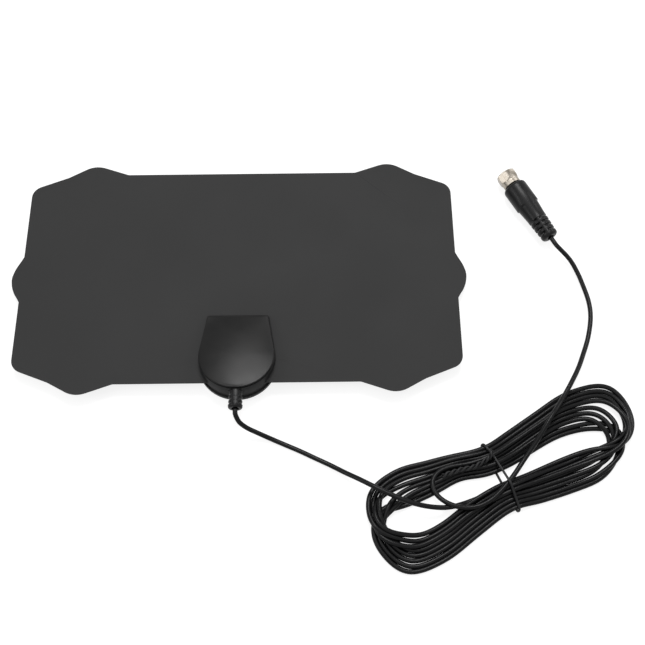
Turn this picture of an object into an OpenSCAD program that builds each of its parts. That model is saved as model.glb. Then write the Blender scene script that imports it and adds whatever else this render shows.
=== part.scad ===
// Flat indoor television antenna. Two foil elements lie between two black plastic films, and a
// wedge-shaped housing on one long edge clamps the films and holds the matching transformer. A thin
// coaxial lead leaves the housing, is wound into a hank with a wire tie, and ends in a moulded plug
// with a captive hexagonal nut. The antenna lies on a table: the housing stands on its far edge and
// the stiff films slope down from it until their far lobes touch the table too.

/* [Film] */
// Distance between the two straight short sides
film_w = 258.6; // [220:0.2:320]
// Distance between the two straight long edges
film_d = 141; // [125:0.5:180]
// Thickness of each of the two films
film_t = 0.3; // [0.2:0.05:0.5]
// How far the pointed tab stands out of each short side, before it is rounded
tab_reach = 6.6; // [3:0.1:10]
// Half the height of a side tab at its root
tab_half = 16.5; // [12:0.5:24]
// How far a lobe stands out of the long edge, before it is rounded
lobe_rise = 7.5; // [4:0.1:12]
// Distance from the short side in to the top of a lobe
lobe_peak_in = 37.8; // [34:0.2:46]
// Distance from the short side in to where a lobe leaves the long edge
lobe_root_in = 58.8; // [54:0.2:70]
// Distance from the short side in to the outer end of a lobe
lobe_end_in = 21.8; // [18:0.2:26]
// How far the outer end of a lobe lies inside the long edge
lobe_end_drop = 1.5; // [0:0.1:4]
// How far the outer corner of the film lies inside the long edge
corner_drop = 10.2; // [6:0.1:14]

/* [Foil elements] */
// Thickness of the foil
foil_t = 0.1; // [0.05:0.01:0.12]
// Bare border between the foil and the straight sides of the film
foil_margin = 11; // [8:0.5:16]
// Gap between the two elements at the centre line
foil_gap = 8; // [6:0.5:12]
// Width of the strip that feeds each element
feed_w = 7; // [5.5:0.5:8]

/* [Housing] */
// Radius of the rounded near end
arc_r = 22.1; // [20:0.1:26]
// Distance from the centre of that arc to the straight far edge
arc_to_edge = 26.7; // [24:0.1:34]
// Half the length of the straight far edge
edge_half = 18.3; // [16:0.1:19]
// How far the rounded end stands out past the edge of the film
overhang = 6.8; // [6.4:0.1:7.5]
// Height of the cover over the film at the straight far edge
cover_low = 2.5; // [2.4:0.1:3.5]
// Height of the cover over the film at the rounded near end
cover_high = 9; // [8.8:0.1:12]
// Radius round the rim of the cover's top
rim_r = 1.1; // [0.6:0.1:1.4]
// Height of the base under the film
base_h = 6.5; // [5.5:0.1:9]
// Side wall of both shells
wall = 1.6; // [1.2:0.1:2]
// Roof of the cover and floor of the base
skin = 1.4; // [1:0.1:1.4]
// Height of the foot that runs round the bottom of the base
foot_h = 2.4; // [1.5:0.1:3]
// How far the foot stands out of the wall of the base
foot_out = 1; // [0.4:0.1:1.5]

/* [Board and transformer] */
// Length of the board across the housing
board_w = 30; // [28:0.5:32]
// Width of the board
board_d = 20; // [18:0.5:21]
// Thickness of the board
board_t = 1; // [0.8:0.1:1.2]
// Outer radius of the ferrite ring
core_r = 2.7; // [2.4:0.1:3]
// Radius of the hole in the ferrite ring
core_hole_r = 1.3; // [1.2:0.05:1.5]
// Height of the ferrite ring
core_h = 1.8; // [1.4:0.1:2]
// Turns of wire on the ring
winding_turns = 6; // [4:1:8]

/* [Lead and strain relief] */
// Diameter of the coaxial lead
cord_d = 2.8; // [2.4:0.1:3.2]
// Radius of the ribbed sleeve of the strain relief
relief_r = 3.7; // [3.4:0.1:4]
// How far the strain relief stands out of the housing
relief_len = 10.5; // [9:0.1:16]
// Slots along each side of the strain relief
relief_slots = 3; // [2:1:4]
// Height of the lead over the top of the film at the strain relief
relief_over_film = 3.8; // [3.8:0.1:4.2]

/* [Hank and tie] */
// Height of the hank
hank_h = 8.4; // [6:0.1:10]
// Diameter of the tie's covered wire
tie_d = 1.4; // [1:0.1:2]
// Length of the tie's twisted tail
tie_tail = 22; // [15:1:30]

/* [Plug] */
// Length of the moulded boot
boot_len = 40.5; // [36:0.5:50]
// Radius of the boot's front block
boot_r = 7.3; // [7:0.1:8.5]
// Length of the boot's front block
boot_block = 15.7; // [14:0.1:18]
// Radius of the boot just behind the block
boot_waist_r = 6.5; // [6:0.1:6.8]
// Radius of the slotted rear of the boot
boot_tail_r = 5.2; // [4.6:0.1:5.6]
// Slots along each side of the boot
boot_slots = 4; // [3:1:5]
// Nut across its flats
nut_flats = 11; // [10.8:0.1:12]
// Length of the nut
nut_len = 9.2; // [8:0.1:11]
// Radius of the nut's mouth inside its thread
nut_bore_r = 4.4; // [4.3:0.05:4.6]
// Radius of the pin
pin_r = 0.45; // [0.4:0.05:0.5]

/* [Fits] */
// Gap between pieces that slip together
fit_gap = 0.1; // [0.05:0.01:0.15]
// Radial running gap between the nut and the metal body that it turns on
nut_gap = 0.09; // [0.06:0.01:0.1]

/* [Hidden] */
eps = 0.01;
$fn = 64;

// Radii of the film's outline, corner by corner
tab_r = 9;
tab_root_r = 6;
corner_r = 8;
lobe_end_r = 7;
lobe_peak_r = 14;
lobe_root_r = 3;
arc_step = 8;

// Heights in the antenna's own frame, which stands on the underside of the base
film_z = base_h;
front_z = film_z + film_t;
film_top = front_z + film_t;
cord_r = cord_d / 2;
cord_z = film_top + relief_over_film;

// Places along the antenna's depth, from the centre of the film
near_edge_y = -film_d / 2;
arc_y = near_edge_y - overhang + arc_r;
near_wall_y = arc_y - arc_r;
edge_y = arc_y + arc_to_edge;
foot_y = edge_y + foot_out;
lobe_top = film_d / 2 + lobe_rise - lobe_cut();
relief_end_y = near_wall_y - relief_len;

// The base's far edge and the far lobes both touch the table
tilt = atan(base_h / (lobe_top - foot_y));
far_y = laid_y([lobe_top, film_top], 0);
near_y = laid_y([relief_end_y, cord_z - relief_r], 0);
centre_shift = -(far_y + near_y) / 2;

// The housing's rounded corners and the roof's slope
edge_r = 1.6;
roof_slope = atan((cover_high - cover_low) / (arc_to_edge + arc_r));

// Pegs that locate the films, and the screws that close the housing
peg_x = edge_half - 5;
peg_y = edge_y - 5;
peg_r = 1.2;
peg_boss_r = 2.5;
screw_x = 9.5;
screw_y = near_wall_y + 5.4;
screw_r = 1;
screw_head_r = 2;
screw_head_h = 1.4;
screw_len = 10;
screw_sunk = 0.6;
screw_boss_r = 2.3;

// The board lies on the film, and two rivets join it to the foil
board_near_y = near_edge_y + 3.6;
board_mid_y = board_near_y + board_d / 2;
rivet_x = foil_gap / 2 + feed_w / 2;
rivet_y = board_near_y + board_d - 3.6;
rivet_r = 1.1;
rivet_head_r = 2;
rivet_head_h = 0.35;
board_top = film_top + board_t;
core_y = board_mid_y - 0.6;
winding_d = 0.35;

// The strain relief is trapped in the near wall, on a saddle of the base
neck_r = 2.4;
flange_r = 3;
flange_t = 1.4;
saddle_half = 4.2;
dielectric_r = 0.8;
conductor_r = 0.25;
flange_off = fit_gap + (arc_r - wall) - sqrt(pow(arc_r - wall, 2) - pow(flange_r, 2));
cable_in_y = near_wall_y + wall + flange_off + flange_t + 0.9;
dielectric_y = cable_in_y + 1.2;
pad_y = board_near_y + 2.6;

// Slots of the strain relief and of the boot
relief_slot_w = 1.1;
relief_slot_pitch = 2.6;
relief_slot_in = 2.1;
boot_slot_w = 1.3;
boot_slot_pitch = 3.1;
boot_slot_in = 2.6;
boot_collar = 3;
boot_round = 2.2;

// The plug lies on the floor beside the film, its nut pointing away from the hank
plug_x = 187;
plug_y = 26;
plug_angle = 119;
body_barrel_r = 3;
body_barrel = 12;
body_neck_r = 3.6;
body_flange_t = 1.2;
nut_lip = 1.4;
nut_z = boot_len + 0.4;
flange_z = nut_z + nut_lip + fit_gap;
nut_front = nut_z + nut_len;
nut_corner_r = nut_flats / 2 / cos(30);
insulator_r = 2.4;
insulator_len = 3;
pin_shank_r = 0.7;
pin_recess = 0.5;

// Ends of the lead, where it leaves the strain relief and where it enters the boot
lead_start = [for (out = [0, 1.5, 3]) laid_point([0, relief_end_y - out, cord_z])];
plug_dir = [cos(plug_angle), sin(plug_angle), 0];
plug_entry = [plug_x, plug_y, boot_r];

// Route of the lead from the housing to the hank, and from the hank to the plug
lead_route = concat(lead_start, [[2, -88.5, 12], [6, -91, 8.8], [11, -92.7, 5.6], [18, -95.2, 2.6],
    [27, -99, 1.4], [36, -103, 1.4], [44, -107, 1.4], [52, -111, 2], [61, -115.3, 4], [69, -119.5, 5.4],
    [77, -123.5, 5.6]]);
tail_route = concat([[184, -76, 6.2], [190, -66.5, 6], [196, -56, 4.2], [200, -47, 2.2], [204, -37, 1.4],
    [207, -24, 1.4], [207, -14, 1.4], [205, -5, 1.6], [202, 4, 2.8], [197.5, 12.5, 4.8]],
    [for (out = [6, 3, 1.5, 0]) plug_entry - out * plug_dir]);

// Corners of the hank's outline and of the two spaces inside its loops, each with its radius
hank_outline = [[69, -119, 14], [72, -160, 24], [92, -178, 15], [150, -136, 20], [222, -120, 22],
    [228, -60, 20], [196, -62, 26], [146, -100, 22]];
left_space = [[81, -147, 6], [91, -133, 8], [136, -117, 4], [140, -124, 4], [118, -140, 14], [102, -152, 9]];
right_space = [[155, -119, 3], [162, -106, 9], [180, -96, 18], [206, -92, 3], [200, -102, 9], [176, -111, 30]];
tie_place = [147, -118.3];
tie_angle = 25;
tie_half = 19.2;
tie_tail_angle = 178;

function unit(v) = v / norm(v);

// Turns a list of corners [x, y, radius] into a closed outline with true tangent arcs
function rounded(corners) = [for (i = [0:len(corners) - 1])
    each corner_arc(corners[i], corners[(i + len(corners) - 1) % len(corners)],
        corners[(i + 1) % len(corners)])];
function corner_arc(v, before, after) =
    let (p = [v.x, v.y],
        a = unit([before.x, before.y] - p),
        b = unit([after.x, after.y] - p),
        half = acos(max(-1, min(1, a * b))) / 2,
        centre = p + unit(a + b) * v.z / sin(half),
        from = p + a * v.z / tan(half) - centre,
        to = p + b * v.z / tan(half) - centre,
        turn = atan2(from.x * to.y - from.y * to.x, from * to),
        steps = max(2, ceil(abs(turn) / arc_step)))
    [for (k = [0:steps]) centre + rotated(from, turn * k / steps)];
function rotated(v, angle) = [v.x * cos(angle) - v.y * sin(angle), v.x * sin(angle) + v.y * cos(angle)];

// The corners of one quarter of the film, from the side tab round to the long edge
function quarter(w, d) = [
    [w, tab_half, tab_root_r],
    [w, d - corner_drop, corner_r],
    [w - lobe_end_in, d - lobe_end_drop, lobe_end_r],
    [w - lobe_peak_in, d + lobe_rise, lobe_peak_r],
    [w - lobe_root_in, d, lobe_root_r]];
function mirror_corners(list, sx, sy) = [for (c = list) [c.x * sx, c.y * sy, c.z]];
function reversed(list) = [for (i = [len(list) - 1:-1:0]) list[i]];
function film_corners(w = film_w / 2, d = film_d / 2) = concat(
    [[w + tab_reach, 0, tab_r]],
    quarter(w, d),
    reversed(mirror_corners(quarter(w, d), -1, 1)),
    [[-w - tab_reach, 0, tab_r]],
    mirror_corners(quarter(w, d), -1, -1),
    reversed(mirror_corners(quarter(w, d), 1, -1)));

// What the rounding takes off the height of a lobe
function lobe_cut() =
    let (inner = atan(lobe_rise / (lobe_root_in - lobe_peak_in)),
        outer = atan((lobe_rise + lobe_end_drop) / (lobe_peak_in - lobe_end_in)))
    lobe_peak_r * (cos((inner - outer) / 2) / cos((inner + outer) / 2) - 1);

// Place of a point of the antenna's own frame once it lies on the table
function laid_y(p, shift) = (p.x - foot_y) * cos(tilt) + p.y * sin(tilt) + foot_y + shift;
function laid_point(p) = [p.x, laid_y([p.y, p.z], centre_shift),
    p.z * cos(tilt) - (p.y - foot_y) * sin(tilt)];

// Smooth curve through a route's points
function route_point(p, i, t) =
    let (n = len(p) - 1, a = p[max(0, i - 1)], b = p[i], c = p[min(n, i + 1)], d = p[min(n, i + 2)])
    b + t * (c - a) / 2 + t * t * (a - 2.5 * b + 2 * c - d / 2) + t * t * t * ((d - a) / 2 + 1.5 * (b - c));
function smooth_route(p, per_span) = concat(
    [for (i = [0:len(p) - 2], k = [0:per_span - 1]) route_point(p, i, k / per_span)], [p[len(p) - 1]]);

// The outer tangent points of the arc and of one rounded corner of the housing's plan
function tangent_normal(o) =
    let (to = [edge_half - edge_r, edge_y - edge_r - arc_y])
    rotated(unit(to), -acos((arc_r - edge_r) / norm(to)));

module laid() {
    translate([0, foot_y + centre_shift, 0])
        rotate([-tilt, 0, 0])
            translate([0, -foot_y, 0])
                children();
}

module plug_place() {
    translate([plug_x, plug_y, boot_r])
        rotate([0, 0, plug_angle])
            rotate([0, 90, 0])
                children();
}

module both_sides() {
    for (side = [0, 1])
        mirror([side, 0, 0])
            children();
}

// Swept round tube along a list of points, with its rings square to the route
module cord_tube(route, radius, sides = 8) {
    n = len(route);
    dirs = [for (i = [0:n - 1]) unit(route[min(n - 1, i + 1)] - route[max(0, i - 1)])];
    rings = [for (i = [0:n - 1])
        let (across = unit(cross(dirs[i], [0, 0, 1])), over = cross(across, dirs[i]))
        for (k = [0:sides - 1])
            route[i] + radius * (across * cos(360 * k / sides) + over * sin(360 * k / sides))];
    walls = [for (i = [0:n - 2], k = [0:sides - 1])
        [i * sides + k, i * sides + (k + 1) % sides,
            (i + 1) * sides + (k + 1) % sides, (i + 1) * sides + k]];
    polyhedron(rings, concat([[for (k = [sides - 1:-1:0]) k]], walls,
        [[for (k = [0:sides - 1]) (n - 1) * sides + k]]));
}

// Plan of the housing, grown or shrunk by o: the near arc, two rounded corners and their tangents
module housing_plan(o) {
    corner = [edge_half - edge_r, edge_y - edge_r];
    n = tangent_normal(o);
    arc_point = [0, arc_y] + n * (arc_r + o);
    corner_point = corner + n * (edge_r + o);
    translate([0, arc_y])
        circle(arc_r + o);
    both_sides()
        translate(corner)
            circle(edge_r + o);
    polygon([arc_point, corner_point, corner + [0, edge_r + o], [-corner.x, corner.y + edge_r + o],
        [-corner_point.x, corner_point.y], [-arc_point.x, arc_point.y]]);
}

// Slots cut in from both sides of a round sleeve that stands on its end
module side_slots(count, first, pitch, width, inner, outer) {
    for (i = [0:count - 1])
        both_sides()
            translate([inner, -outer, first + i * pitch])
                cube([outer, 2 * outer, width]);
}

module film_sheet(z) {
    translate([0, 0, z])
        difference() {
            linear_extrude(film_t)
                polygon(rounded(film_corners()));
            film_holes();
        }
}

// Holes for the two locating pegs and for the two rivets
module film_holes(grow = 0) {
    both_sides() {
        translate([peg_x, peg_y, -1])
            cylinder(r = peg_r + fit_gap + grow, h = 3);
        translate([rivet_x, rivet_y, -1])
            cylinder(r = rivet_r + fit_gap / 2, h = 3);
    }
}

// Plan of the right element: a feed strip that widens into a broad plate
module element_plan(o = 0) {
    inner = foil_gap / 2 - o;
    outer = film_w / 2 - foil_margin + o;
    high = film_d / 2 - foil_margin + o;
    low = rivet_y - 4 - o;
    feed = foil_gap / 2 + feed_w + o;
    polygon(rounded([[inner, low, 1], [feed, low, 1], [feed, -24, 5], [52, -high, 8], [outer, -high, 8],
        [outer, high, 8], [52, high, 8], [inner, 14, 5]]));
}

module element(side) {
    mirror([side < 0 ? 1 : 0, 0, 0])
        translate([0, 0, front_z])
            difference() {
                linear_extrude(foil_t)
                    element_plan();
                translate([rivet_x, rivet_y, -1])
                    cylinder(r = rivet_r + fit_gap / 2, h = 3);
            }
}

module front_film() {
    color([0.25, 0.25, 0.25])
        laid()
            difference() {
                film_sheet(front_z);
                both_sides()
                    translate([0, 0, front_z - 1])
                        linear_extrude(1 + foil_t)
                            element_plan();
            }
}

module back_film() {
    color([0.22, 0.22, 0.22])
        laid()
            film_sheet(film_z);
}

module left_element() {
    color([0.75, 0.76, 0.78])
        laid()
            element(-1);
}

module right_element() {
    color([0.75, 0.76, 0.78])
        laid()
            element(1);
}

// Height of the top of the cover over the film at a place along its depth
function roof(y) = film_top + cover_low + (edge_y - y) * tan(roof_slope);

// Everything under the cover's inner roof, inside its walls
module cover_room() {
    difference() {
        translate([0, 0, film_z - 1])
            linear_extrude(cover_high + 8)
                housing_plan(-wall);
        translate([0, edge_y, roof(edge_y) - skin])
            rotate([-roof_slope, 0, 0])
                translate([-50, -100, 0])
                    cube([100, 150, 50]);
    }
}

// The wedge: a tilted rounded rim over the near arc, and two small round corners at the far edge
module cover_form() {
    hull() {
        translate([0, arc_y, film_z])
            cylinder(r = arc_r, h = 0.2);
        both_sides()
            translate([edge_half - edge_r, edge_y - edge_r, film_z])
                cylinder(r = edge_r, h = 0.2, $fn = 32);
        translate([0, arc_y, roof(arc_y) - rim_r / cos(roof_slope)])
            rotate([-roof_slope, 0, 0])
                rotate_extrude()
                    translate([arc_r - rim_r, 0])
                        circle(rim_r, $fn = 16);
        both_sides()
            translate([edge_half - edge_r, edge_y - edge_r, roof(edge_y - edge_r) - rim_r / cos(roof_slope)])
                rotate([-roof_slope, 0, 0])
                    rotate_extrude($fn = 32)
                        intersection() {
                            translate([edge_r - rim_r, 0])
                                circle(rim_r, $fn = 16);
                            translate([0, -rim_r])
                                square([edge_r, 2 * rim_r]);
                        }
    }
}

module housing_cover() {
    color([0.2, 0.2, 0.2])
        laid()
            difference() {
                union() {
                    difference() {
                        cover_form();
                        cover_room();
                    }
                    intersection() {
                        cover_bosses();
                        union() {
                            cover_room();
                            translate([0, 0, film_z - 5])
                                linear_extrude(6)
                                    housing_plan(-wall);
                        }
                    }
                }
                film_slit();
                both_sides()
                    translate([screw_x, screw_y, film_z - 1])
                        cylinder(r = screw_r + fit_gap / 2, h = screw_len - 2, $fn = 32);
                relief_notch(saddle_half + fit_gap);
            }
}

// Pegs and screw bosses that hang from the roof
module cover_bosses() {
    both_sides() {
        translate([peg_x, peg_y, film_z - 2.6])
            cylinder(r = peg_r, h = 20);
        translate([peg_x, peg_y, film_top])
            cylinder(r = peg_boss_r, h = 20);
        translate([screw_x, screw_y, film_z])
            cylinder(r = screw_boss_r, h = 20);
    }
}

// Room for the two films between the shells, which the pegs pass through
module film_slit() {
    difference() {
        translate([0, near_edge_y - fit_gap + 50, film_z - 1])
            linear_extrude(film_top - film_z + 1)
                square([100, 100], center = true);
        both_sides()
            translate([peg_x, peg_y, film_z - 5])
                cylinder(r = peg_r, h = 10);
    }
}

// Opening in the near wall for the neck of the strain relief and the base's saddle
module relief_notch(half) {
    translate([-half, near_wall_y - 1, film_z - 1])
        cube([2 * half, wall + 1.5, cord_z - film_z + 1]);
    relief_neck_hole();
}

module relief_neck_hole() {
    translate([0, near_wall_y + wall + 0.5, cord_z])
        rotate([90, 0, 0])
            cylinder(r = neck_r + fit_gap / 2, h = wall + 1.5);
}

module housing_base() {
    color([0.14, 0.14, 0.14])
        laid()
            difference() {
                union() {
                    linear_extrude(foot_h)
                        housing_plan(foot_out);
                    difference() {
                        linear_extrude(base_h)
                            housing_plan(0);
                        translate([0, 0, skin])
                            linear_extrude(base_h)
                                housing_plan(-wall);
                    }
                    both_sides() {
                        translate([peg_x, peg_y, 0])
                            cylinder(r = peg_boss_r, h = base_h);
                        intersection() {
                            translate([screw_x, screw_y, 0])
                                cylinder(r = screw_boss_r + 0.8, h = base_h);
                            linear_extrude(base_h)
                                housing_plan(0);
                        }
                    }
                    saddle();
                }
                translate([0, 0, skin])
                    linear_extrude(foot_h - skin + eps)
                        difference() {
                            housing_plan(-wall);
                            base_boss_plan();
                        }
                both_sides() {
                    translate([peg_x, peg_y, film_z - 3])
                        cylinder(r = peg_r + fit_gap, h = 5);
                    translate([screw_x, screw_y, -1])
                        cylinder(r = screw_r + fit_gap, h = base_h + 2, $fn = 32);
                    translate([screw_x, screw_y, -1])
                        cylinder(r = screw_head_r + 2 * fit_gap, h = 1 + screw_sunk + screw_head_h);
                }
                relief_neck_hole();
            }
}

// Plan of the base's bosses, which stand up from its floor
module base_boss_plan() {
    both_sides() {
        translate([peg_x, peg_y])
            circle(peg_boss_r);
        translate([screw_x, screw_y])
            circle(screw_boss_r + 0.8);
    }
}

// A short piece of wall that rises from the base under the neck of the strain relief
module saddle() {
    intersection() {
        translate([0, 0, base_h - 1])
            linear_extrude(cord_z - base_h + 1)
                difference() {
                    housing_plan(0);
                    housing_plan(-wall);
                }
        translate([-saddle_half, near_wall_y - 1, 0])
            cube([2 * saddle_half, wall + 2, cord_z]);
    }
}

module housing_screws() {
    color("dimgray")
        laid()
            both_sides()
                translate([screw_x, screw_y, screw_sunk])
                    screw();
}

// Pan-head screw that points up, with a cross recess in its head
module screw() {
    difference() {
        union() {
            cylinder(r = screw_head_r, h = screw_head_h);
            cylinder(r = screw_r, h = screw_head_h + screw_len - 1);
            translate([0, 0, screw_head_h + screw_len - 1])
                cylinder(r1 = screw_r, r2 = 0.3, h = 1);
        }
        for (turn = [0, 90])
            rotate([0, 0, turn])
                translate([-1.2, -0.25, -eps])
                    cube([2.4, 0.5, 0.7]);
    }
}

module contact_rivets() {
    color("goldenrod")
        laid()
            both_sides()
                translate([rivet_x, rivet_y, 0])
                    rivet();
}

// Hollow rivet: shank through board, foil and films, with a rolled head at each end
module rivet() {
    bottom = film_z - rivet_head_h;
    difference() {
        union() {
            translate([0, 0, bottom])
                cylinder(r = rivet_head_r, h = rivet_head_h);
            translate([0, 0, bottom])
                cylinder(r = rivet_r, h = board_top - bottom + rivet_head_h);
            translate([0, 0, board_top])
                cylinder(r = rivet_head_r, h = rivet_head_h);
        }
        translate([0, 0, bottom - 1])
            cylinder(r = rivet_r - 0.35, h = 10);
    }
}

module circuit_board() {
    color("darkgreen")
        laid()
            difference() {
                translate([-board_w / 2, board_near_y, film_top])
                    cube([board_w, board_d, board_t]);
                both_sides()
                    translate([rivet_x, rivet_y, film_top - 1])
                        cylinder(r = rivet_r + fit_gap / 2, h = 5);
            }
}

module balun_core() {
    color([0.16, 0.16, 0.17])
        laid()
            translate([0, core_y, core_z()])
                difference() {
                    cylinder(r = core_r, h = core_h);
                    translate([0, 0, -1])
                        cylinder(r = core_hole_r, h = core_h + 2);
                }
}

// The ring stands on its own winding, one wire above the board
function core_z() = board_top + winding_d + 0.15;

// One wire wound round the ring from turn to turn, open over the last sixth
module balun_winding() {
    around_r = core_h / 2 + winding_d / 2 + 0.1;
    across_r = (core_r - core_hole_r) / 2 + winding_d / 2 + 0.1;
    mid_r = (core_r + core_hole_r) / 2;
    steps = winding_turns * 16;
    route = [for (i = [0:steps])
        let (about = 300 * i / steps, turn = 360 * winding_turns * i / steps)
        [(mid_r + across_r * squared(turn)) * cos(about), (mid_r + across_r * squared(turn)) * sin(about),
            around_r * squared(turn + 90)]];
    color("chocolate")
        laid()
            translate([0, core_y, core_z() + core_h / 2])
                winding_tube(route, winding_d / 2, 6);
}

// A squared-off cosine, so that the wire goes round the ring's corners
function squared(angle) = cos(angle) / pow(pow(abs(cos(angle)), 8) + pow(abs(sin(angle)), 8), 1 / 8);

// Swept tube for a wire that turns every way, with each ring carried on from the last
module winding_tube(route, radius, sides) {
    n = len(route);
    dirs = [for (i = [0:n - 1]) unit(route[min(n - 1, i + 1)] - route[max(0, i - 1)])];
    frames = [for (i = 0, a = unit(cross(dirs[0], [0.3, 0.2, 1])); i < n;
        i = i + 1, a = i < n ? unit(a - dirs[i] * (a * dirs[i])) : a) a];
    rings = [for (i = [0:n - 1], k = [0:sides - 1])
        route[i] + radius * (frames[i] * cos(360 * k / sides) + cross(frames[i], dirs[i]) * sin(360 * k / sides))];
    walls = [for (i = [0:n - 2], k = [0:sides - 1])
        [i * sides + k, i * sides + (k + 1) % sides,
            (i + 1) * sides + (k + 1) % sides, (i + 1) * sides + k]];
    polyhedron(rings, concat([[for (k = [sides - 1:-1:0]) k]], walls,
        [[for (k = [0:sides - 1]) (n - 1) * sides + k]]));
}

// A round rod along the lead's axis in the housing, between two places along the depth
module lead_rod(radius, from_y, to_y) {
    translate([0, to_y, cord_z])
        rotate([90, 0, 0])
            cylinder(r = radius, h = to_y - from_y);
}

module cable_end_in_housing() {
    color([0.1, 0.1, 0.1])
        laid()
            lead_rod(cord_r, relief_end_y, cable_in_y);
}

module cable_dielectric() {
    color("white")
        laid()
            lead_rod(dielectric_r, cable_in_y, dielectric_y);
}

// Route of a wire from the end of the cable down to its pad on the board, in one easy bend
function droop(x, y, aside, radius) = let (lying = board_top + radius + fit_gap / 2, ahead = pad_y - y - 0.5)
    concat([[x, y, cord_z]],
        [for (k = [0:8]) let (eased = (1 - cos(180 * k / 8)) / 2)
            [x + aside * eased, y + 0.5 + ahead * k / 8, cord_z + (lying - cord_z) * eased]],
        [[x + aside, pad_y + 1.5, lying]]);

// Centre conductor, bent down to its pad on the board
module cable_conductor() {
    color("peru")
        laid()
            winding_tube(droop(0, dielectric_y, 0, conductor_r), conductor_r, 8);
}

// The braid, twisted into a tail and bent down to the earth pad beside the conductor
module braid_tail() {
    tail_r = 0.3;
    color("silver")
        laid()
            winding_tube(droop(dielectric_r + tail_r + fit_gap, cable_in_y, 2, tail_r), tail_r, 8);
}

// Moulded sleeve with a neck in the wall and a flange behind it, standing along -Y
module strain_relief() {
    body = relief_len - fit_gap;
    color([0.08, 0.08, 0.08])
        laid()
            translate([0, relief_end_y, cord_z])
                rotate([-90, 0, 0])
                    difference() {
                        union() {
                            rounded_rod(relief_r, body, 0.9);
                            cylinder(r = neck_r, h = relief_len + wall + flange_off + eps);
                            translate([0, 0, relief_len + wall + flange_off])
                                cylinder(r = flange_r, h = flange_t);
                        }
                        side_slots(relief_slots, 2.2, relief_slot_pitch, relief_slot_w, relief_slot_in, relief_r + 1);
                        translate([0, 0, -1])
                            cylinder(r = cord_r + fit_gap / 2, h = relief_len + wall + flange_t + 3);
                    }
}

// A rod standing on its rounded end
module rounded_rod(radius, length, round) {
    rotate_extrude()
        union() {
            square([radius - round, length]);
            translate([0, round])
                square([radius, length - round]);
            translate([radius - round, round])
                circle(round, $fn = 32);
        }
}

module lead_from_housing() {
    color([0.1, 0.1, 0.1])
        cord_tube(smooth_route(lead_route, 2), cord_r);
}

module lead_to_plug() {
    color([0.1, 0.1, 0.1])
        cord_tube(smooth_route(tail_route, 2), cord_r);
}

// Outer shape of the wound lead: two round-ended bundles of loops, pinched by the tie
module hank() {
    color([0.12, 0.12, 0.12])
        difference() {
            linear_extrude(hank_h)
                difference() {
                    polygon(rounded(hank_outline));
                    polygon(rounded(left_space));
                    polygon(rounded(right_space));
                }
            tie_frame()
                translate([-tie_d / 2 - fit_gap, -50, -1])
                    cube([tie_d + 2 * fit_gap, 100, 1 + tie_d + fit_gap]);
        }
}

module tie_frame() {
    translate(tie_place)
        rotate([0, 0, tie_angle])
            children();
}

// A loop of covered wire round both bundles, and its twisted tail lying on the hank
module twist_tie() {
    high = hank_h + fit_gap;
    tail_r = 0.65 * tie_d;
    color([0.07, 0.07, 0.07])
        tie_frame() {
            rotate([90, 0, 90])
                linear_extrude(tie_d, center = true)
                    difference() {
                        polygon(rounded([[-tie_half - tie_d, 0, 3], [tie_half + tie_d, 0, 3],
                            [tie_half + tie_d, high + tie_d, 3], [-tie_half - tie_d, high + tie_d, 3]]));
                        polygon(rounded([[-tie_half, tie_d, 0.8], [tie_half, tie_d, 0.8],
                            [tie_half, high, 0.8], [-tie_half, high, 0.8]]));
                    }
            translate([0, 10, high + tail_r + fit_gap / 2])
                rotate([0, 0, tie_tail_angle - tie_angle])
                    rotate([0, 90, 0])
                        cylinder(r = tail_r, h = tie_tail);
        }
}

// Boot profile: slotted tail with a rounded end, waist that widens forward, and a round-edged block
module boot_profile() {
    waist = boot_len - boot_block;
    slot_end = boot_collar + boot_slots * boot_slot_pitch + 1;
    difference() {
        union() {
            polygon([[0, 0], [boot_tail_r - boot_round / 2, 0], [boot_tail_r, boot_round / 2],
                [boot_tail_r, slot_end], [boot_waist_r, waist], [0, waist]]);
            translate([boot_tail_r - boot_round / 2, boot_round / 2])
                circle(boot_round / 2, $fn = 32);
            translate([0, waist])
                square([boot_r - 0.5, boot_block]);
            translate([0, waist + 0.5])
                square([boot_r, boot_block - 0.5 - boot_round]);
            translate([boot_r - 0.5, waist + 0.5])
                circle(0.5, $fn = 24);
        }
        translate([boot_r - boot_round, boot_len - boot_round])
            difference() {
                square([boot_round + 1, boot_round + 1]);
                circle(boot_round, $fn = 48);
            }
    }
}

module plug_boot() {
    color([0.08, 0.08, 0.08])
        plug_place()
            difference() {
                rotate_extrude()
                    boot_profile();
                rotate([0, 0, 90])
                    side_slots(boot_slots, boot_collar, boot_slot_pitch, boot_slot_w, boot_slot_in, boot_r + 1);
                translate([0, 0, boot_len - body_barrel])
                    cylinder(r = body_barrel_r + fit_gap / 2, h = body_barrel + 1);
                translate([0, 0, -1])
                    cylinder(r = cord_r + fit_gap / 2, h = boot_len + 2);
            }
}

module cable_end_in_plug() {
    color([0.1, 0.1, 0.1])
        plug_place()
            cylinder(r = cord_r, h = boot_len - body_barrel - fit_gap);
}

// Turned metal body: barrel inside the boot, neck that the nut turns on, and its front flange
module plug_body() {
    color("silver")
        plug_place()
            difference() {
                union() {
                    translate([0, 0, boot_len - body_barrel])
                        cylinder(r = body_barrel_r, h = body_barrel + 1);
                    translate([0, 0, boot_len])
                        cylinder(r = body_neck_r, h = flange_z - boot_len + eps);
                    translate([0, 0, flange_z])
                        cylinder(r = nut_bore_r - 2 * fit_gap, h = body_flange_t);
                }
                translate([0, 0, flange_z + body_flange_t - insulator_len])
                    cylinder(r = insulator_r + fit_gap / 2, h = insulator_len + 1);
                translate([0, 0, boot_len - body_barrel - 1])
                    cylinder(r = cord_r, h = body_barrel + 5);
            }
}

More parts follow.
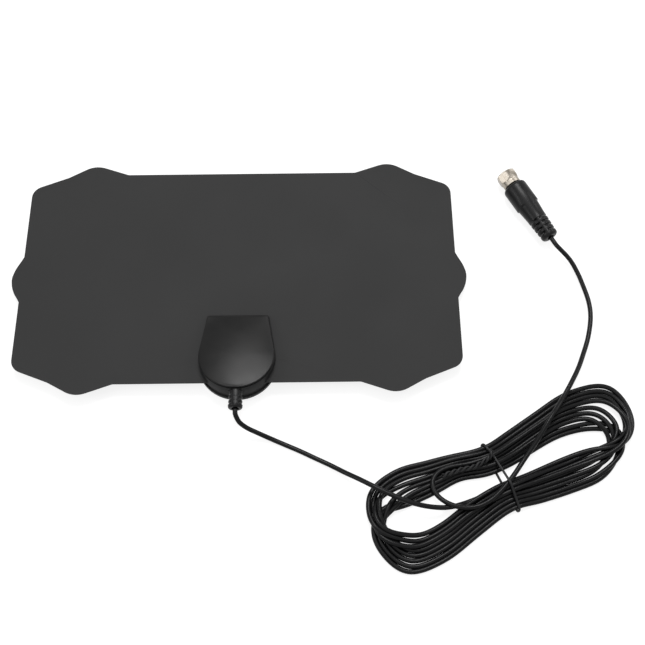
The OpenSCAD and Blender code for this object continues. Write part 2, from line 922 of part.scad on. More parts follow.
module plug_insulator() {
    color("white")
        plug_place()
            translate([0, 0, flange_z + body_flange_t - insulator_len])
                difference() {
                    cylinder(r = insulator_r, h = insulator_len);
                    translate([0, 0, -1])
                        cylinder(r = pin_shank_r + fit_gap / 2, h = insulator_len + 2);
                }
}

// Centre pin: a thicker shank held in the insulator, and a thin pin with a tapered point
module plug_pin() {
    color("peru")
        plug_place() {
            translate([0, 0, boot_len - 2])
                cylinder(r = pin_shank_r, h = flange_z + body_flange_t - boot_len + 2, $fn = 32);
            translate([0, 0, boot_len - 2])
                cylinder(r = pin_r, h = nut_front - pin_recess - boot_len + 2 - pin_r, $fn = 32);
            translate([0, 0, nut_front - pin_recess - pin_r])
                cylinder(r1 = pin_r, r2 = pin_r / 2, h = pin_r, $fn = 32);
        }
}

// Hexagonal nut with both ends chamfered, a threaded mouth and a lip behind the body's flange
module plug_nut() {
    chamfer = nut_corner_r - nut_flats / 2 + 0.25;
    color("lightgray")
        plug_place()
            translate([0, 0, nut_z])
                difference() {
                    intersection() {
                        rotate([0, 0, 12])
                            cylinder(r = nut_corner_r, h = nut_len, $fn = 6);
                        rotate_extrude()
                            polygon([[0, 0], [nut_corner_r - chamfer, 0], [nut_corner_r + 1, (chamfer + 1) * tan(35)],
                                [nut_corner_r + 1, nut_len - (chamfer + 1) * tan(50)],
                                [nut_corner_r - chamfer, nut_len], [0, nut_len]]);
                    }
                    translate([0, 0, nut_lip])
                        cylinder(r = nut_bore_r, h = nut_len);
                    translate([0, 0, -1])
                        cylinder(r = body_neck_r + nut_gap, h = nut_len);
                    translate([0, 0, nut_len - 0.6])
                        cylinder(r1 = nut_bore_r, r2 = nut_bore_r + 0.65, h = 0.65);
                }
}

front_film();
back_film();
left_element();
right_element();
housing_cover();
housing_base();
housing_screws();
contact_rivets();
circuit_board();
balun_core();
balun_winding();
cable_end_in_housing();
cable_dielectric();
cable_conductor();
braid_tail();
strain_relief();
lead_from_housing();
hank();
lead_to_plug();
twist_tie();
plug_boot();
cable_end_in_plug();
plug_body();
plug_insulator();
plug_pin();
plug_nut();
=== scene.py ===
import bpy
import bmesh
import math
import numpy as np
from mathutils import Matrix, Vector


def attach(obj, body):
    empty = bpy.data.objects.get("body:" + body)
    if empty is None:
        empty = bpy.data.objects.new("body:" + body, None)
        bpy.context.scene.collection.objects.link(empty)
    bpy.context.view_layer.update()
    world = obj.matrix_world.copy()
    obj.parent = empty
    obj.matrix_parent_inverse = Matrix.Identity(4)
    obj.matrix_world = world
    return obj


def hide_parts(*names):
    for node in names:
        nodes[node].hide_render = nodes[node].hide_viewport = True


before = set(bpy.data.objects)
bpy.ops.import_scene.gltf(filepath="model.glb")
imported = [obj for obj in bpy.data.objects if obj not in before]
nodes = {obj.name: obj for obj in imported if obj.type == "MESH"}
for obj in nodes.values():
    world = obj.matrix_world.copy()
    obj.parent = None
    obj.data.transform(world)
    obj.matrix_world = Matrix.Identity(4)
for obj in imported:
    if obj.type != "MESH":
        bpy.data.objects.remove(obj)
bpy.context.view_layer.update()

# ---- Camera, table and light
# A long-lens view from above, a little in front of the housing. The antenna lies on a white table. A
# strong soft lamp behind it is mirrored in the cover, and weak ones fill from above and both sides.
camera_data = bpy.data.cameras.new("camera")
camera_data.lens = 59.16
camera_data.sensor_width = 36
camera_data.clip_start = 0.01
camera = bpy.data.objects.new("camera", camera_data)
bpy.context.scene.collection.objects.link(camera)
right = Vector((0.99993, -0.01124, -0.00248))
up = Vector((0.01134, 0.92486, 0.38014))
look = Vector((0.00198, 0.38014, -0.92492))
camera_turn = Matrix((right, up, -look)).transposed()
camera.matrix_world = Matrix.Translation((0.047925, -0.26197, 0.57758)) @ camera_turn.to_4x4()
bpy.context.scene.camera = camera
bpy.context.scene.view_settings.view_transform = "Standard"


def seen_ray(tree):
    """Is 1 for a ray of the camera, of gloss or through glass, and 0 for one that lights the object."""
    path = tree.nodes.new("ShaderNodeLightPath")
    seen = path.outputs["Is Camera Ray"]
    for kind in ("Is Glossy Ray", "Is Transmission Ray"):
        either = tree.nodes.new("ShaderNodeMath")
        either.operation = "MAXIMUM"
        tree.links.new(seen, either.inputs[0])
        tree.links.new(path.outputs[kind], either.inputs[1])
        seen = either.outputs[0]
    return seen


room = bpy.data.worlds.new("room")
bpy.context.scene.world = room
room.use_nodes = True
tree = room.node_tree
backdrop = tree.nodes["Background"]
backdrop.inputs["Color"].default_value = (1, 1, 1, 1)
room_light = tree.nodes.new("ShaderNodeMapRange")
room_light.inputs["To Min"].default_value = 0.42
room_light.inputs["To Max"].default_value = 1.0
tree.links.new(seen_ray(tree), room_light.inputs["Value"])
tree.links.new(room_light.outputs["Result"], backdrop.inputs["Strength"])

table_mesh = bpy.data.meshes.new("table")
table_mesh.from_pydata([(-3, -3, 0), (3, -3, 0), (3, 3, 0), (-3, 3, 0)], [], [(0, 1, 2, 3)])
table = bpy.data.objects.new("table", table_mesh)
bpy.context.scene.collection.objects.link(table)
table_white = bpy.data.materials.new("table_white")
table_white.use_nodes = True
tree = table_white.node_tree
tree.nodes.remove(tree.nodes["Principled BSDF"])
matte = tree.nodes.new("ShaderNodeBsdfDiffuse")
matte.inputs["Color"].default_value = (0.27, 0.27, 0.27, 1)
white_strength = tree.nodes.new("ShaderNodeMath")
white_strength.operation = "MULTIPLY"
white_strength.inputs[1].default_value = 0.82
tree.links.new(seen_ray(tree), white_strength.inputs[0])
seen_white = tree.nodes.new("ShaderNodeEmission")
tree.links.new(white_strength.outputs[0], seen_white.inputs["Strength"])
matte_and_white = tree.nodes.new("ShaderNodeAddShader")
tree.links.new(matte.outputs[0], matte_and_white.inputs[0])
tree.links.new(seen_white.outputs[0], matte_and_white.inputs[1])
tree.links.new(matte_and_white.outputs[0], tree.nodes["Material Output"].inputs["Surface"])
table_mesh.materials.append(table_white)


def soft_lamp(name, place, aim, size, power):
    data = bpy.data.lights.new(name, "AREA")
    data.shape = "DISK"
    data.size = size
    data.energy = power
    lamp = bpy.data.objects.new(name, data)
    bpy.context.scene.collection.objects.link(lamp)
    lamp_turn = (Vector(aim) - Vector(place)).to_track_quat("-Z", "Y")
    lamp.matrix_world = Matrix.Translation(place) @ lamp_turn.to_matrix().to_4x4()


soft_lamp("over_table", (-0.1, 0.0, 1.5), (0.02, -0.04, 0), 1.2, 4)
soft_lamp("behind_table", (0.07, 0.67, 1.36), (0, -0.06, 0), 0.6, 14)
soft_lamp("from_left", (-1.2, -0.2, 0.9), (0, 0, 0), 0.6, 4)
soft_lamp("from_right", (1.1, 0.5, 0.7), (0.1, 0, 0), 0.5, 3)

# ---- Coaxial lead
# One length of thin round coaxial lead, 3.3 m, in glossy black vinyl. It runs from the housing to a
# hank of nine passes, wound by hand, and from there over a small loose loop to the plug.
lead_d = 0.0028
lead_r = lead_d / 2
plug_way = np.array([math.cos(math.radians(119)), math.sin(math.radians(119)), 0])
plug_entry = np.array([0.187, 0.026, 0.0073])
from_housing = [
    (0, -0.08184, 0.01463), (0, -0.0833, 0.0147), (0.0001, -0.0848, 0.0146), (0.002, -0.0885, 0.012),
    (0.006, -0.091, 0.0088), (0.011, -0.0927, 0.0056), (0.018, -0.0952, 0.0026), (0.027, -0.099, 0.0014),
    (0.036, -0.103, 0.0014), (0.044, -0.107, 0.0014), (0.052, -0.111, 0.002),
]
over_left_end = [
    (0.061, -0.1163, 0.004), (0.069, -0.1212, 0.008), (0.078, -0.1266, 0.0105), (0.092, -0.1332, 0.0105),
    (0.103, -0.1362, 0.009), (0.115, -0.1366, 0.0075), (0.128, -0.1335, 0.0065), (0.138, -0.1298, 0.0065),
]
small_loop = [
    (0.1195, -0.1133, 0.0112), (0.1122, -0.1164, 0.0113), (0.1083, -0.1222, 0.0112), (0.11, -0.129, 0.0111),
    (0.1155, -0.1345, 0.0111), (0.123, -0.1373, 0.0111), (0.132, -0.137, 0.0111), (0.14, -0.1335, 0.0111),
    (0.147, -0.1275, 0.0111), (0.153, -0.1205, 0.0111), (0.16, -0.1105, 0.0108), (0.168, -0.0995, 0.0105),
    (0.177, -0.086, 0.01),
]
to_plug = [
    (0.184, -0.076, 0.007), (0.19, -0.0665, 0.006), (0.196, -0.056, 0.0042), (0.2, -0.047, 0.0022),
    (0.204, -0.037, 0.0014), (0.207, -0.024, 0.0014), (0.207, -0.014, 0.0014), (0.205, -0.005, 0.0016),
    (0.202, 0.004, 0.0028), (0.1975, 0.0125, 0.0048),
] + [tuple(plug_entry - back * plug_way) for back in (0.006, 0.003, 0.0015, 0)]
outermost_pass = np.array([
    (0.0725, -0.146), (0.08, -0.1605), (0.094, -0.1703), (0.113, -0.1635), (0.132, -0.149),
    (0.15, -0.135), (0.168, -0.131), (0.187, -0.126), (0.204, -0.1195), (0.219, -0.1045),
    (0.2233, -0.086), (0.212, -0.0675), (0.19, -0.071), (0.169, -0.085), (0.153, -0.096),
    (0.1405, -0.1047), (0.1235, -0.1084), (0.106, -0.1118), (0.089, -0.1155), (0.0745, -0.127)])
innermost_pass = np.array([
    (0.084, -0.1445), (0.0895, -0.1495), (0.1005, -0.1512), (0.1145, -0.1445), (0.128, -0.1345),
    (0.145, -0.126), (0.163, -0.1183), (0.183, -0.11), (0.199, -0.103), (0.2065, -0.098),
    (0.2065, -0.0935), (0.197, -0.0918), (0.18, -0.0955), (0.166, -0.1025), (0.155, -0.1095),
    (0.1405, -0.1157), (0.1245, -0.1177), (0.111, -0.1258), (0.0965, -0.1335), (0.0865, -0.139)])
stations = len(outermost_pass)
# Each pass lies between the innermost loop (-1) and the outermost (1), on the long runs and at the ends
shift_of_pass = np.array([0.55, 0.08, 1, 0.73, -0.19, -0.46, -0.73, -1, 0.35])
reach_of_pass = np.array([0.4, -0.2, 0.95, 0.7, -0.6, -0.9, 0.2, -0.4, 0.5])
passes = len(shift_of_pass)


def between(a, b, c, d, f):
    """A smooth curve from b to c that also heeds a and d."""
    return b + f * (c - a) / 2 + f * f * (a - 2.5 * b + 2 * c - d / 2) + f ** 3 * ((d - a) / 2 + 1.5 * (b - c))


def smooth_route(points, parts):
    p = np.asarray(points, float)
    f = np.arange(parts)[:, None] / parts
    spans = [between(p[max(0, i - 1)], p[i], p[i + 1], p[min(len(p) - 1, i + 2)], f)
             for i in range(len(p) - 1)]
    return np.vstack(spans + [p[-1:]])


def on_loop(loop, t):
    i, f = np.floor(t).astype(int), (t - np.floor(t))[:, None]
    a, b, c, d = (loop[(i + ahead) % stations] for ahead in (-1, 0, 1, 2))
    return between(a, b, c, d, f)


def evenly(route, step):
    along = np.r_[0, np.cumsum(np.linalg.norm(np.diff(route, axis=0), axis=1))]
    marks = np.linspace(0, along[-1], int(round(along[-1] / step)) + 1)
    return np.stack([np.interp(marks, along, route[:, k]) for k in range(3)], 1)


def ease(x):
    x = np.clip(x, 0, 1)
    return x * x * (3 - 2 * x)


def wound_passes():
    """The middle line of the hank. Late in each round it changes over to the next pass."""
    start, last_round, steps_a_round = 5.0, 10.4, 240
    change_from, change_for = 0.62, 0.23
    layer_height, layers_of_shift, last_layer = 0.00125, 3.5, 8
    wander_by, wanders_a_round, soften_over = 0.07, 6, 25
    t = np.linspace(start, start + (passes - 1) * stations + last_round, passes * steps_a_round)
    rounds_done = (t - start) / stations
    this = np.minimum(passes - 1, np.floor(rounds_done)).astype(int)
    after = np.minimum(passes - 1, this + 1)
    change = ease((rounds_done - np.floor(rounds_done) - change_from) / change_for)
    shift = shift_of_pass[this] * (1 - change) + shift_of_pass[after] * change
    reach = reach_of_pass[this] * (1 - change) + reach_of_pass[after] * change
    layer = np.r_[(shift_of_pass[:-1] + 1) * layers_of_shift, last_layer]
    height = lead_r + layer_height * (layer[this] * (1 - change) + layer[after] * change)
    # Half a turn at each end of the hank takes a pass from its upper run to its lower run and back
    station = t % stations
    left_end, right_end, back_again = ease((station + 2) / 3.5), ease((station - 7.6) / 3.8), ease((station - 18) / 3.5)
    angle = np.where(station < 1.5, left_end, np.where(station < 11.4, 1 + right_end, 2 + back_again)) * math.pi
    place = shift * np.cos(angle) + 0.85 * reach * np.abs(np.sin(angle))
    wander = np.random.default_rng(5).uniform(-1, 1, passes * wanders_a_round + 2)
    wander_at = np.arange(len(wander)) * stations / wanders_a_round
    place = np.clip(place + wander_by * np.interp(t - start, wander_at, wander), -1, 1)
    soften = np.hanning(soften_over) / np.hanning(soften_over).sum()
    place = np.convolve(np.pad(place, soften_over // 2, mode="edge"), soften, mode="valid")[:, None]
    inner, outer = on_loop(innermost_pass, t), on_loop(outermost_pass, t)
    return np.c_[inner + (outer - inner) * (place + 1) / 2, height]


tie_d = 0.0014
tie_middle, tie_way = np.array([0.147, -0.1183]), np.array([0.42262, -0.90631])


def over_tie(route):
    """How far the wire of the twist tie, which lies under the hank, lifts each point of the lead."""
    far_side, near_side, fades_over = -0.017, 0.019, 0.006
    away = route[:, :2] - tie_middle
    along = np.clip(away @ tie_way, far_side, near_side)
    return tie_d * np.exp(-(np.linalg.norm(away - along[:, None] * tie_way, axis=1) / fades_over) ** 2)


def laid_down(route, rounds=420):
    """Lets the wound lead sink on the table and on itself until its strands lie a diameter apart."""
    held_ends, freed_over = 34, 18
    fast, slow, fast_share = 0.0001, 0.00003, 0.7
    search_reach, neighbours_left_out = 0.0016, 4
    mostly_up = (0.45, 0.45, 1)
    lowest = lead_r + over_tie(route)
    count = len(route)
    number = np.arange(count)
    free = (np.clip((number - held_ends) / freed_over, 0, 1)
            * np.clip((count - held_ends - 1 - number) / freed_over, 0, 1))[:, None]
    moved = np.zeros_like(route)
    for step in range(rounds):
        moved[:, 2:] -= (fast if step < rounds * fast_share else slow) * free
        now = route + moved
        if step % 4 == 0:
            apart = ((now[:, None, :] - now[None, :, :]) ** 2).sum(-1)
            a, b = np.where(np.triu(apart < (lead_d + search_reach) ** 2, neighbours_left_out))
        for _ in range(3):
            way = now[b] - now[a]
            far = np.linalg.norm(way, axis=1) + 1e-9
            hit = far < lead_d
            push = way[hit] / far[hit, None] * ((lead_d - far[hit]) * 0.5)[:, None] * mostly_up
            total, met = np.zeros_like(now), np.zeros(count)
            np.add.at(total, a[hit], -push)
            np.add.at(total, b[hit], push)
            np.add.at(met, a[hit], 1)
            np.add.at(met, b[hit], 1)
            now += total / np.maximum(1, met * 0.5)[:, None] * free
        moved = now - route
        moved[:, :2] *= 0.985
        soft = moved.copy()
        for _ in range(2):
            soft[1:-1] = 0.25 * soft[:-2] + 0.5 * soft[1:-1] + 0.25 * soft[2:]
        moved = (moved * 0.3 + soft * 0.7) * free ** 0.25
        height = route[:, 2] + moved[:, 2]
        moved[:, 2] += np.where((height < lowest) & (free[:, 0] > 0), lowest - height, 0)
    return route + moved


# The leads at both ends are aimed along the hank, by a point further on that is then left out again
hank, parts = wound_passes(), 12
head = smooth_route(from_housing + over_left_end + [tuple(hank[6]), tuple(hank[60])], parts)[:-2 * parts]
foot = smooth_route([tuple(hank[-60]), tuple(hank[-6])] + small_loop + to_plug, parts)[parts:]
lead_line = laid_down(evenly(np.vstack([head, hank[7:-6], foot]), lead_d))
for _ in range(2):
    lead_line[12:-12] = 0.25 * lead_line[11:-13] + 0.5 * lead_line[12:-12] + 0.25 * lead_line[13:-11]
lead_fine = smooth_route(lead_line, 2)


def cord_curve(name, points, radius, resolution):
    data = bpy.data.curves.new(name, "CURVE")
    data.dimensions = "3D"
    data.bevel_depth = radius
    data.bevel_resolution = resolution
    data.use_fill_caps = True
    spline = data.splines.new("POLY")
    spline.points.add(len(points) - 1)
    spline.points.foreach_set("co", np.c_[points, np.ones(len(points))].ravel())
    spline.use_smooth = True
    piece = bpy.data.objects.new(name, data)
    bpy.context.scene.collection.objects.link(piece)
    return piece


lead = cord_curve("coaxial_lead", lead_fine, lead_r, 4)


def grain_group():
    """Fine moulded grain: a height for a bump, and a slow mottle that goes from 0 to 1."""
    group = bpy.data.node_groups.new("moulded_grain", "ShaderNodeTree")
    group.interface.new_socket("Grain Size", in_out="INPUT", socket_type="NodeSocketFloat").default_value = 0.0004
    group.interface.new_socket("Mottle Size", in_out="INPUT", socket_type="NodeSocketFloat").default_value = 0.02
    group.interface.new_socket("Height", in_out="OUTPUT", socket_type="NodeSocketFloat")
    group.interface.new_socket("Mottle", in_out="OUTPUT", socket_type="NodeSocketFloat")
    enter = group.nodes.new("NodeGroupInput")
    leave = group.nodes.new("NodeGroupOutput")
    place = group.nodes.new("ShaderNodeTexCoord")
    for size, detail, result in (("Grain Size", 2.0, "Height"), ("Mottle Size", 3.0, "Mottle")):
        scale = group.nodes.new("ShaderNodeMath")
        scale.operation = "DIVIDE"
        scale.inputs[0].default_value = 1.0
        group.links.new(enter.outputs[size], scale.inputs[1])
        noise = group.nodes.new("ShaderNodeTexNoise")
        noise.inputs["Detail"].default_value = detail
        group.links.new(place.outputs["Object"], noise.inputs["Vector"])
        group.links.new(scale.outputs[0], noise.inputs["Scale"])
        group.links.new(noise.outputs["Fac"], leave.inputs[result])
    return group


moulded_grain = grain_group()


def moulded(name, dark, light, *, rough, grain, mottle, bump, metallic=0.0, rough_spread=0.08, specular=0.5):
    """A material whose colour goes from dark to light and whose gloss varies a little with the mottle."""
    material = bpy.data.materials.new(name)
    material.use_nodes = True
    tree = material.node_tree
    shader = tree.nodes["Principled BSDF"]
    shader.inputs["Metallic"].default_value = metallic
    shader.inputs["Specular IOR Level"].default_value = specular
    texture = tree.nodes.new("ShaderNodeGroup")
    texture.node_tree = moulded_grain
    texture.inputs["Grain Size"].default_value = grain
    texture.inputs["Mottle Size"].default_value = mottle
    low, high = 0.3, 0.7
    tint = tree.nodes.new("ShaderNodeValToRGB")
    for end, position, colour in zip(tint.color_ramp.elements, (low, high), (dark, light)):
        end.position = position
        end.color = (*colour, 1)
    tree.links.new(texture.outputs["Mottle"], tint.inputs["Fac"])
    tree.links.new(tint.outputs["Color"], shader.inputs["Base Color"])
    gloss = tree.nodes.new("ShaderNodeMapRange")
    gloss.inputs["From Min"].default_value = low
    gloss.inputs["From Max"].default_value = high
    gloss.inputs["To Min"].default_value = rough - rough_spread / 2
    gloss.inputs["To Max"].default_value = rough + rough_spread / 2
    tree.links.new(texture.outputs["Mottle"], gloss.inputs["Value"])
    tree.links.new(gloss.outputs["Result"], shader.inputs["Roughness"])
    relief = tree.nodes.new("ShaderNodeBump")
    relief.inputs["Strength"].default_value = bump
    relief.inputs["Distance"].default_value = grain
    tree.links.new(texture.outputs["Height"], relief.inputs["Height"])
    tree.links.new(relief.outputs["Normal"], shader.inputs["Normal"])
    return material


def finish_node(name, material):
    """Gives a node of the frame, whose shape stays, its material."""
    for slot in nodes[name].material_slots:
        slot.material = material
    if not nodes[name].material_slots:
        nodes[name].data.materials.append(material)


lead_vinyl = moulded("lead_vinyl", (0.003, 0.003, 0.0033), (0.0045, 0.0045, 0.0048),
                     rough=0.27, grain=0.0006, mottle=0.012, bump=0.06, specular=0.13)
lead.data.materials.append(lead_vinyl)
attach(lead, "antenna")
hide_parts("lead_from_housing", "hank", "lead_to_plug")
for name in ("cable_end_in_housing", "cable_end_in_plug"):
    finish_node(name, lead_vinyl)

# ---- Films and foil elements
# Two matte black plastic films, die-cut to one outline and laminated with the foil between them. The
# long edges have four lobes, and each short side has a round tab that starts and ends with a corner.
film_matte = moulded("film_matte", (0.0172, 0.0172, 0.0173), (0.0195, 0.0195, 0.0196),
                     rough=0.66, grain=0.00035, mottle=0.05, bump=0.10, specular=0.19)
foil = moulded("foil", (0.72, 0.73, 0.75), (0.8, 0.81, 0.83),
               rough=0.25, grain=0.0008, mottle=0.01, bump=0.1, metallic=1.0)
short_side_x = 0.1293
# The right tab's outline, from its near root to its far root: how far out of the short side, and y
tab_edge = smooth_route([
    (0.0, -0.0122), (0.0017, -0.0093), (0.0032, -0.0069), (0.00465, -0.0035), (0.0054, -0.0005), (0.00572, 0.0024),
    (0.00545, 0.0053), (0.0043, 0.0092), (0.003, 0.0121), (0.0015, 0.015), (0.0, 0.0182)], 4)


def die_cut(name, node):
    """A film like its node, but with each side tab cut to the round outline above."""
    cut = bmesh.new()
    cut.from_mesh(nodes[node].data)
    bmesh.ops.remove_doubles(cut, verts=cut.verts, dist=1e-6)
    plain_edge = np.array(sorted((v.co.y, v.co.x) for v in cut.verts
                                 if v.co.x > short_side_x - 1e-5 and -0.0125 < v.co.y < 0.0228))
    for y in tab_edge[:, 1]:
        everything = cut.verts[:] + cut.edges[:] + cut.faces[:]
        bmesh.ops.bisect_plane(cut, geom=everything, plane_co=(0, y, 0), plane_no=(0, 1, 0))
    for v in cut.verts:
        out = abs(v.co.x) - short_side_x
        if out > 0:
            was = np.interp(v.co.y, plain_edge[:, 0], plain_edge[:, 1]) - short_side_x
            becomes = np.interp(v.co.y, tab_edge[:, 1], tab_edge[:, 0])
            v.co.x = math.copysign(short_side_x + out / max(was, out) * becomes, v.co.x)
    mesh = bpy.data.meshes.new(name)
    cut.to_mesh(mesh)
    cut.free()
    mesh.materials.clear()
    mesh.materials.append(film_matte)
    film = bpy.data.objects.new(name, mesh)
    bpy.context.scene.collection.objects.link(film)
    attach(film, "antenna")
    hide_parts(node)


die_cut("upper_film", "front_film")
die_cut("lower_film", "back_film")
for name in ("left_element", "right_element"):
    finish_node(name, foil)

# ---- Housing
# Two shells moulded in black plastic that clamp the films between them, held by two screws from below.
# The base is matte, and its colour is lighter than the cover's: painted light against the shade under the
# cover. The satin cover is a wedge with a crowned top, a crisp rim and a groove under it. Its sideways
# faces are rougher than the top, and lighter in colour as painted light on the rim, groove and walls.
housing_satin = moulded("housing_satin", (0.0032, 0.0032, 0.0033), (0.0062, 0.006, 0.0058),
                        rough=0.32, grain=0.0003, mottle=0.016, bump=0.07, specular=0.155)
# A rougher copy of the cover's plastic for its sideways faces, with a lighter colour that is painted light.
cover_side_painted_light = moulded("cover_side_painted_light", (0.009, 0.009, 0.0092), (0.013, 0.013, 0.0132),
                       rough=0.6, grain=0.0003, mottle=0.004, bump=0.1, specular=0.14)
# The base's plastic, lighter in colour than the cover's: painted light that lifts the shade on its wall.
base_matte_painted_light = moulded("base_matte_painted_light", (0.017, 0.017, 0.0172), (0.023, 0.023, 0.0232),
                     rough=0.55, grain=0.0003, mottle=0.004, bump=0.1, specular=0.1)
finish_node("housing_base", base_matte_painted_light)
housing_tilt, housing_shift, foot_y = math.radians(3.5705419), 5.1627163, -27.5
arc_y, arc_r, side_normal = -55.2, 22.1, 9.2047
far_edge_y, far_corner_r, far_corner_x = -28.5, 1.6, 16.7
film_bottom, film_top, near_edge_y, near_wall_y, lead_height = 6.5, 7.1, -70.5, -77.3, 10.9


def in_housing(points):
    """Takes points of the level antenna, in millimetres, to where it lies on the table, in metres."""
    p = np.asarray(points, float)
    back = p[:, 1] - foot_y
    y = back * math.cos(housing_tilt) + p[:, 2] * math.sin(housing_tilt) + foot_y + housing_shift
    return np.c_[p[:, 0], y, p[:, 2] * math.cos(housing_tilt) - back * math.sin(housing_tilt)] * 0.001


def housing_outline(grow):
    """Plan of the housing, grown by an amount: the near arc, two straight sides and two small far corners."""
    def arc(x, y, radius, start, stop, steps):
        a = np.radians(np.linspace(start, stop, steps))
        return np.c_[x + radius * np.cos(a), y + radius * np.sin(a)]

    def straight(a, b, steps):
        return a + (b - a) * (np.arange(1, steps) / steps)[:, None]

    small, big = max(0.15, far_corner_r + grow), arc_r + grow
    tuck = small - far_corner_r - grow
    corner_x, corner_y = far_corner_x - tuck, far_edge_y - far_corner_r - tuck
    near = arc(0, arc_y, big, 180 - side_normal, 360 + side_normal, 80)
    right = arc(corner_x, corner_y, small, side_normal, 90, 9)
    left = arc(-corner_x, corner_y, small, 90, 180 - side_normal, 9)
    return np.vstack([near, straight(near[-1], right[0], 9), right, straight(right[-1], left[0], 13),
                      left, straight(left[-1], near[0], 9)])


cover_low, roof_slope = 2.5, 0.133197


def roof(y):
    return film_top + cover_low + (far_edge_y - y) * roof_slope


def ring_skin(name, rings, ends="capped", sharp=32):
    """A closed skin over a row of rings with the same number of points, capped or joined at its ends."""
    count, around = len(rings), len(rings[0])
    faces = []
    for r in range(count if ends == "joined" else count - 1):
        this, above = r * around, (r + 1) % count * around
        faces += [(this + k, this + (k + 1) % around, above + (k + 1) % around, above + k) for k in range(around)]
    if ends == "capped":
        faces += [tuple(range(around)), tuple(range((count - 1) * around, count * around))]
    mesh = bpy.data.meshes.new(name)
    mesh.from_pydata(np.vstack(rings).tolist(), [], faces)
    tidy = bmesh.new()
    tidy.from_mesh(mesh)
    bmesh.ops.recalc_face_normals(tidy, faces=tidy.faces)
    tidy.to_mesh(mesh)
    tidy.free()
    mesh.shade_smooth()
    mesh.set_sharp_from_angle(angle=math.radians(sharp))
    piece = bpy.data.objects.new(name, mesh)
    bpy.context.scene.collection.objects.link(piece)
    return piece


def cover_ring(grow, height, shrink=1.0):
    plan = housing_outline(grow)
    middle = np.array([0, -52.5])
    plan = middle + (plan - middle) * shrink
    return np.c_[plan, height(plan[:, 1])]


def cover_foot(y):
    return np.where(y > near_edge_y, film_top + 0.01, film_bottom + 0.01)


def under_roof(drop):
    return lambda y: roof(y) - drop


crown, crown_middle_y, half_depth, side_lean = 1.7, -52.2, 25.1, 0.162


def crowned_ring(shrink):
    """A ring of the cover's top, raised by a crown that dies out at the sides and at both ends."""
    ring = cover_ring(-1.05, under_roof(0.1), shrink)
    x, y = ring[:, 0], ring[:, 1]
    near = np.sqrt(np.maximum(0.01, (arc_r - 1.0) ** 2 - np.minimum(0, y - arc_y) ** 2))
    half = np.minimum(near, near + (arc_y - y) * side_lean * (y > arc_y))
    across = np.clip(1 - (x / half) ** 2, 0, 1)
    along = np.clip(1 - ((y - crown_middle_y) / half_depth) ** 2, 0, 1)
    ring[:, 2] += crown * across * along
    return in_housing(ring)


top_shares = (0.1, 0.2, 0.3, 0.4, 0.5, 0.6, 0.68, 0.76, 0.83, 0.89, 0.94, 0.975)
rim_and_groove = [
    (-1.05, 0.1), (-0.8, 0.13), (-0.62, 0.24), (-0.52, 0.45), (-0.5, 0.6), (-0.5, 0.85), (-0.62, 0.9), (-1.55, 0.95),
    (-1.55, 2.0), (-0.45, 2.1), (-0.28, 2.18), (-0.22, 2.3)]
wall_foot = [(0, cover_foot), (-1.6, cover_foot)]
ceiling = [(2.4, 1.0), (1.9, 0.9), (1.6, 0.4), (1.6, 0.1)]
rings = [crowned_ring(share) for share in top_shares]
rings += [in_housing(cover_ring(grow, under_roof(drop))) for grow, drop in rim_and_groove]
rings += [in_housing(cover_ring(grow, height)) for grow, height in wall_foot]
rings += [in_housing(cover_ring(-1.75, under_roof(drop), share)) for drop, share in ceiling]
cover = ring_skin("wedge_cover", rings)
# The notch for the strain relief: round over the lead, and square below it for the relief's block
notch_half, notch_foot, neck_r = 4.3, 5.5, 2.46
half_round = [(neck_r * math.cos(t), lead_height + neck_r * math.sin(t)) for t in np.linspace(0, math.pi, 13)]
arch = [(-notch_half, notch_foot), (notch_half, notch_foot), (notch_half, lead_height)] + half_round
arch += [(-notch_half, lead_height)]
notch = ring_skin("relief_notch", [in_housing([(x, y, z) for x, z in arch])
                                   for y in (near_wall_y - 1, near_wall_y + 3.1)])
cut = cover.modifiers.new("cut", "BOOLEAN")
cut.object = notch
cut.operation = "DIFFERENCE"
cut.solver = "EXACT"


def plain_mesh(name, source):
    """A new piece from what a curve, or an object with modifiers, looks like. The source is removed."""
    mesh = bpy.data.meshes.new_from_object(source.evaluated_get(bpy.context.evaluated_depsgraph_get()))
    source.modifiers.clear()
    bpy.data.objects.remove(source)
    piece = bpy.data.objects.new(name, mesh)
    bpy.context.scene.collection.objects.link(piece)
    return piece


cover = plain_mesh("wedge_cover", cover)
bpy.data.objects.remove(notch)
cover.data.materials.clear()
cover.data.materials.append(housing_satin)
cover.data.materials.append(cover_side_painted_light)
# Faces that lean sideways take the lighter copy of the plastic: painted light on the cover's walls.
painted_side_below = 0.55
for face in cover.data.polygons:
    face.material_index = int(face.normal.z < painted_side_below)
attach(cover, "antenna")
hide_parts("housing_cover")

# ---- Inside the housing
# A copper winding on a ferrite ring matches the lead to the foil. It sits on a board, beside the lead's
# stripped end. Two hollow brass rivets fix the board to the foil, and two screws hold the shells.
screw_black = moulded("screw_black", (0.08, 0.08, 0.085), (0.12, 0.12, 0.125),
                      rough=0.35, grain=0.0002, mottle=0.004, bump=0.1, metallic=1.0)
rivet_brass = moulded("rivet_brass", (0.62, 0.45, 0.2), (0.7, 0.52, 0.25),
                      rough=0.3, grain=0.0002, mottle=0.003, bump=0.05, metallic=1.0)
board_green = moulded("board_green", (0.02, 0.12, 0.05), (0.03, 0.16, 0.07),
                      rough=0.4, grain=0.0003, mottle=0.006, bump=0.05)
ferrite = moulded("ferrite", (0.05, 0.05, 0.055), (0.09, 0.09, 0.095),
                  rough=0.6, grain=0.0002, mottle=0.002, bump=0.2)
copper = moulded("copper", (0.6, 0.28, 0.14), (0.7, 0.34, 0.18),
                 rough=0.28, grain=0.0002, mottle=0.002, bump=0.05, metallic=1.0)
